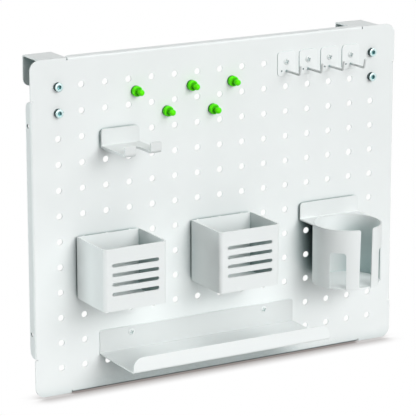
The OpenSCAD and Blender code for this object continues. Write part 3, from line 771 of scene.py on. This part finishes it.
def washers(node, at, places, bore, edge, softness):
    """Models a washer with chamfered edges at the height of its node, and copies it to every place."""
    low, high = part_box(node)
    radius, back, front = WASHER_RADIUS, -high.y, -low.y
    washer = turned("washer", Vector((at.x, 0, at.z)), [
        (bore, back), (radius - edge, back), (radius, back + edge), (radius, front - edge),
        (radius - edge, front), (bore, front), (bore, back)])
    softened(washer, softness)
    in_places(washer, at, places, node + "_finished", node)


def nuts(node, at, places, bore):
    """Models a hexagon nut with chamfered corners at the height of its node, and copies it to every place.

    The node spans the places on Z and one nut more, which gives the nut's width across its flats."""
    low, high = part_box(node)
    heights = [place.z for place in places]
    across = high.z - low.z - (max(heights) - min(heights))
    corner, back, front = corner_radius(across), -high.y, -low.y
    flat, chamfer, countersink = across / 2 * 0.97, 0.5 * MM, 0.4 * MM
    middle = Vector((at.x, 0, at.z))
    nut = turned("nut", middle, [
        (bore, back), (flat, back), (corner, back + chamfer), (corner, front - chamfer), (flat, front),
        (bore + countersink, front), (bore, front - countersink), (bore, back)], steps=60)
    block = hexagon(middle, across, back - PAST_HEAD, front + PAST_HEAD, HEXAGON_HALF_TURN)
    combine(nut, block, "INTERSECT")
    softened(nut, 0.08 * MM)
    in_places(nut, at, places, node + "_finished", node)


class TOOLWALL_OT_hanger_screws(bpy.types.Operator):
    """Models the four socket-head screws that hold the hangers, with their washers and nuts"""

    bl_idname = "tool_wall.hanger_screws"
    bl_label = "Hanger Screws"

    def execute(self, context):
        sizes = context.scene.tool_wall_hardware
        low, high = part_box("hanger_screws")
        radius, height, shank = sizes.bolt_head / 2, sizes.bolt_head_height, sizes.bolt / 2
        face = low.y + height
        places = [Vector((x, face, z)) for x in (low.x + radius, high.x - radius)
                  for z in (low.z + radius, high.z - radius)]
        at, end = places[0], face - high.y

        screw = turned("socket_screw", at, socket_screw_profile(radius, height, shank, end), steps=72)
        knurl(screw, at, radius, height)
        socket_floor = height * 0.42
        socket = hexagon(at, sizes.socket, socket_floor, height + PAST_HEAD, turn=math.radians(12))
        combine(screw, socket, "DIFFERENCE")
        softened(screw, 0.07 * MM, segments=1, angle=40)
        screws = in_places(screw, at, places, "hanger_screws_finished", "hanger_screws")
        # The knurled sides of the heads get a darker zinc as painted shade.
        refinish(screws, "zinc_dark", lambda face: on_head_side(face, places, radius))

        low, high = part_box("hanger_washers")
        bore, edge = shank + SCREW_CLEARANCE, (high.y - low.y) * 0.18
        washers("hanger_washers", at, places, bore, edge, softness=0.1 * MM)
        nuts("hanger_nuts", at, places, bore)
        return {"FINISHED"}


class TOOLWALL_OT_pan_screws(bpy.types.Operator):
    """Models the six low pan-head screws of the shelf and the key hooks, with their washers and nuts"""

    bl_idname = "tool_wall.pan_screws"
    bl_label = "Pan Screws"

    def execute(self, context):
        sizes = context.scene.tool_wall_hardware
        low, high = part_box("pan_screws")
        radius, height, shank = sizes.pan_head / 2, sizes.pan_head_height, sizes.pan_shank / 2
        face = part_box("key_plate_1")[0].y
        shelf_low, shelf_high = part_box("shelf")
        left = low.x + radius
        places = [Vector((left, face, low.z + radius)),
                  Vector((shelf_low.x + shelf_high.x - left, face, low.z + radius))]
        for i in range(1, KEY_HOOKS + 1):
            plate_low, plate_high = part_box(f"key_plate_{i}")
            places.append(Vector(((plate_low.x + plate_high.x) / 2, face, high.z - radius)))
        at, end = places[0], face - high.y

        screw = turned("pan_screw", at, pan_screw_profile(radius, height, shank, end))
        cut_cross(screw, at, sizes.recess, height)
        softened(screw, 0.06 * MM, segments=1, angle=40)
        in_places(screw, at, places, "pan_screws_finished", "pan_screws")

        bore = shank + SCREW_CLEARANCE
        washers("pan_washers", at, places, bore, edge=0.15 * MM, softness=0.06 * MM)
        nuts("pan_nuts", at, places, bore)
        return {"FINISHED"}


# ---- Hooks, bumpers and key wires ----


class TOOLWALL_OT_hooks(bpy.types.Operator):
    """Rounds the zinc-plated hooks and the rubber bumpers behind the accessories"""

    bl_idname = "tool_wall.hooks"
    bl_label = "Hooks and Bumpers"

    def execute(self, context):
        for node in HOOKS:
            finished_copy(node, edge=0.2 * MM)
        for node in BUMPERS:
            finished_copy(node, edge=0.5 * MM, segments=3)
        return {"FINISHED"}


def selected_middle(piece):
    """The middle of the faces that are selected in edit mode."""
    piece.update_from_editmode()
    picked = [face.center.copy() for face in piece.data.polygons if face.select]
    return sum(picked, Vector()) / len(picked)


def bent_wire(root, radius, sizes):
    """A wire that runs to the front from its root, turns up and ends in a round tip."""
    weld = 0.6 * MM
    straight = sizes.reach - sizes.bend
    bpy.ops.object.select_all(action="DESELECT")
    bpy.ops.mesh.primitive_circle_add(vertices=24, radius=radius, fill_type="NGON", location=root,
                                      rotation=(math.radians(90), 0, 0))
    wire = bpy.context.object
    bpy.ops.object.transform_apply(location=True, rotation=True, scale=True)
    bpy.context.tool_settings.mesh_select_mode = (False, False, True)
    bpy.ops.object.mode_set(mode="EDIT")
    bpy.ops.mesh.select_all(action="SELECT")
    for run in (weld, straight - weld):
        bpy.ops.mesh.extrude_region_move(TRANSFORM_OT_translate={"value": (0, -run, 0)})
    bpy.ops.mesh.spin(steps=12, angle=sizes.turn, center=root + Vector((0, -straight, sizes.bend)),
                      axis=(1, 0, 0))
    upwards = Vector((0, -math.cos(sizes.turn), math.sin(sizes.turn)))
    bpy.ops.mesh.extrude_region_move(TRANSFORM_OT_translate={"value": upwards * sizes.tip})
    for narrowing, rise in ((0.9, 0.44), (0.62, 0.35), (0.22, 0.19)):
        bpy.ops.mesh.extrude_region_move(TRANSFORM_OT_translate={"value": upwards * rise * radius})
        bpy.ops.transform.resize(value=(narrowing,) * 3, center_override=selected_middle(wire))
    bpy.ops.mesh.select_all(action="SELECT")
    bpy.ops.mesh.normals_make_consistent(inside=False)
    bpy.ops.object.mode_set(mode="OBJECT")
    only(wire)
    bpy.ops.object.shade_smooth_by_angle(angle=math.radians(50))
    return wire


class TOOLWALL_OT_key_wires(bpy.types.Operator):
    """Models the wires of the key hooks, welded to their plates and turned up at the end"""

    bl_idname = "tool_wall.key_wires"
    bl_label = "Key Wires"

    def execute(self, context):
        for i in range(1, KEY_HOOKS + 1):
            node = f"key_wire_{i}"
            low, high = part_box(node)
            radius = (high.x - low.x) / 2
            root = Vector(((low.x + high.x) / 2, high.y, low.z + radius))
            dress(bent_wire(root, radius, context.scene.tool_wall_wires), node + "_finished", node)
        return {"FINISHED"}


# ---- Magnets ----


def magnet_profile(foot, length, sizes):
    """Half section of a magnet: a pocket for the disc, the foot, the waist and the knob."""
    low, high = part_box("magnet_disc_1")
    play, edge, round_edge, hollow = 0.1 * MM, 0.2 * MM, 1.2 * MM, 0.8 * MM
    pocket, depth = (high.x - low.x) / 2 + play, high.y - low.y + play
    rim, waist, knob = sizes.foot_height, sizes.waist / 2, sizes.knob / 2
    return [
        (0, depth), (pocket, depth), (pocket, 0), (foot - edge, 0), (foot, edge),
        *arc(foot - round_edge, rim - round_edge, round_edge, 0, 90, steps=5),
        *arc(waist + hollow, rim + hollow, hollow, 270, 180, steps=4),
        *arc(0, length - knob, knob, -38, 72, steps=12),
        (0, length)]


class TOOLWALL_OT_magnets(bpy.types.Operator):
    """Models the moulded magnets, each a foot with a waist and a round knob, and the discs in their feet"""

    bl_idname = "tool_wall.magnets"
    bl_label = "Magnets"

    def execute(self, context):
        sizes = context.scene.tool_wall_magnets
        for i in range(1, MAGNETS + 1):
            node = f"magnet_cap_{i}"
            low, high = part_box(node)
            at = Vector(((low.x + high.x) / 2, high.y, (low.z + high.z) / 2))
            cap = turned(node, at, magnet_profile((high.x - low.x) / 2, high.y - low.y, sizes), steps=64)
            only(cap)
            bpy.ops.object.shade_smooth_by_angle(angle=math.radians(40))
            dress(cap, node + "_finished", node)
            finished_copy(f"magnet_disc_{i}", edge=0.25 * MM)
        return {"FINISHED"}


# ---- Studio ----


COOL_WHITE = (0.93, 1.0, 1.0)
LIGHTS = [
    # its name, the setting with its strength, the direction it comes from, its colour
    ("key_light", "key", (0.30, -0.81, 0.50), WHITE),
    ("front_light", "front", (0.0, -0.956, 0.292), WHITE),
    ("side_light", "side", (-0.93, 0.34, 0.12), COOL_WHITE),
    ("top_light", "top", (0.0, -0.03, 1.0), WHITE),
]
FLOOR_SIZE, FLOOR_BEHIND = 12, 2
FLOOR_GREY, FLOOR_SHADOW = (0.52, 0.52, 0.52), (0.30, 0.27, 0.26)
SKY = (0.93, 1.0, 0.99)
CAMERA_ROLL = math.radians(-0.07)


def camera_rays(nodes, links):
    """1 for rays that show the surroundings, straight or in gloss or through glass, and 0 for light."""
    path = nodes.new("ShaderNodeLightPath")
    share = path.outputs["Is Camera Ray"]
    for ray in ("Is Glossy Ray", "Is Transmission Ray"):
        either = nodes.new("ShaderNodeMath")
        either.operation = "MAXIMUM"
        links.new(share, either.inputs[0])
        links.new(path.outputs[ray], either.inputs[1])
        share = either.outputs[0]
    return share


def lit_and_shown(nodes, links, lit, shown, surface):
    """Links one shader to the surface for light, and another one for the rays that show it."""
    both = nodes.new("ShaderNodeMixShader")
    links.new(camera_rays(nodes, links), both.inputs["Fac"])
    links.new(lit, both.inputs[1])
    links.new(shown, both.inputs[2])
    links.new(both.outputs["Shader"], surface)


def floor_material():
    """White to the camera, with a soft shadow where the panel stands close over it."""
    material, nodes, links, shader = new_material("pale_floor")
    shader.inputs["Base Color"].default_value = (*FLOOR_GREY, 1)
    shader.inputs["Roughness"].default_value = 0.9
    glow = nodes.new("ShaderNodeEmission")
    near = sky_share(nodes, 27 * MM, samples=16)
    links.new(ramp_of(nodes, links, near, [(0.4, FLOOR_SHADOW), (0.95, WHITE)]), glow.inputs["Color"])
    lit_and_shown(nodes, links, shader.outputs["BSDF"], glow.outputs["Emission"],
                  nodes["Material Output"].inputs["Surface"])
    return material


def studio_world(strength):
    """A faint cool sky that looks white to the camera."""
    world = bpy.data.worlds.new("studio")
    world.use_nodes = True
    nodes, links = world.node_tree.nodes, world.node_tree.links
    sky = nodes["Background"]
    sky.inputs["Color"].default_value = (*SKY, 1)
    sky.inputs["Strength"].default_value = strength
    white = nodes.new("ShaderNodeBackground")
    white.inputs["Color"].default_value = (*WHITE, 1)
    lit_and_shown(nodes, links, sky.outputs["Background"], white.outputs["Background"],
                  nodes["World Output"].inputs["Surface"])
    return world


def studio_light(name, towards, strength, softness, colour):
    """A broad light that shines on the panel from the direction given by towards."""
    direction = Vector(towards).normalized()
    bpy.ops.object.light_add(type="SUN", location=2 * direction)
    light = bpy.context.object
    light.name = light.data.name = name
    light.data.energy = strength
    light.data.color = colour
    light.data.angle = softness
    light.rotation_mode = "QUATERNION"
    light.rotation_quaternion = (-direction).to_track_quat("-Z", "Y")


def studio_camera(place, aim, lens):
    """The camera, which leans by its roll."""
    bpy.ops.object.camera_add(location=place)
    camera = bpy.context.object
    camera.rotation_mode = "QUATERNION"
    camera.rotation_quaternion = (
        Vector(aim).to_track_quat("-Z", "Y") @ Quaternion((0, 0, 1), CAMERA_ROLL))
    camera.data.sensor_width = 36
    camera.data.lens = lens
    camera.data.clip_end = 50
    return camera


class TOOLWALL_OT_stage(bpy.types.Operator):
    """Adds the pale floor, the studio light and the camera"""

    bl_idname = "tool_wall.stage"
    bl_label = "Studio"

    def execute(self, context):
        settings = context.scene.tool_wall_stage
        bpy.ops.object.select_all(action="DESELECT")
        bpy.ops.mesh.primitive_plane_add(
            size=FLOOR_SIZE, location=(0, FLOOR_BEHIND, CAD_BOX[0].z - settings.floor_gap))
        floor = context.object
        floor.name = "floor"
        bpy.ops.object.transform_apply(location=True)
        floor.data.materials.append(floor_material())

        context.scene.world = studio_world(settings.sky)
        for name, setting, towards, colour in LIGHTS:
            studio_light(name, towards, getattr(settings, setting), settings.softness, colour)
        context.scene.camera = studio_camera(settings.camera_place, settings.camera_aim, settings.lens)
        context.scene.view_settings.view_transform = "Standard"
        return {"FINISHED"}


# ---- Panel and registration ----



class TOOLWALL_PT_panel(bpy.types.Panel):
    """Lists the pieces and their settings"""

    bl_idname = "TOOLWALL_PT_panel"
    bl_label = "Tool Wall"
    bl_space_type = "VIEW_3D"
    bl_region_type = "UI"
    bl_category = "Tool Wall"

    def draw(self, context):
        for group in SETTINGS:
            box = self.layout.box()
            settings = getattr(context.scene, group)
            for name in settings.bl_rna.properties.keys():
                if name not in ("rna_type", "name"):
                    box.prop(settings, name)
        for operator in OPERATORS:
            self.layout.operator(operator.bl_idname)


SETTINGS = {
    "tool_wall_coat": CoatSettings,
    "tool_wall_hardware": HardwareSettings,
    "tool_wall_wires": WireSettings,
    "tool_wall_magnets": MagnetSettings,
    "tool_wall_stage": StageSettings,
}
OPERATORS = [
    TOOLWALL_OT_coated, TOOLWALL_OT_hanger_screws, TOOLWALL_OT_pan_screws, TOOLWALL_OT_hooks,
    TOOLWALL_OT_key_wires, TOOLWALL_OT_magnets, TOOLWALL_OT_stage,
]


def register():
    """Adds the settings, the operators and the panel to Blender."""
    for cls in [*SETTINGS.values(), *OPERATORS, TOOLWALL_PT_panel]:
        bpy.utils.register_class(cls)
    for name, group in SETTINGS.items():
        setattr(bpy.types.Scene, name, PointerProperty(type=group))


def unregister():
    """Takes them out again."""
    for name in SETTINGS:
        delattr(bpy.types.Scene, name)
    for cls in reversed([*SETTINGS.values(), *OPERATORS, TOOLWALL_PT_panel]):
        bpy.utils.unregister_class(cls)


def main():
    """Builds the scene from the operators."""
    register()
    for operator in OPERATORS:
        group, name = operator.bl_idname.split(".")
        getattr(getattr(bpy.ops, group), name)()


if __name__ == "__main__":
    main()
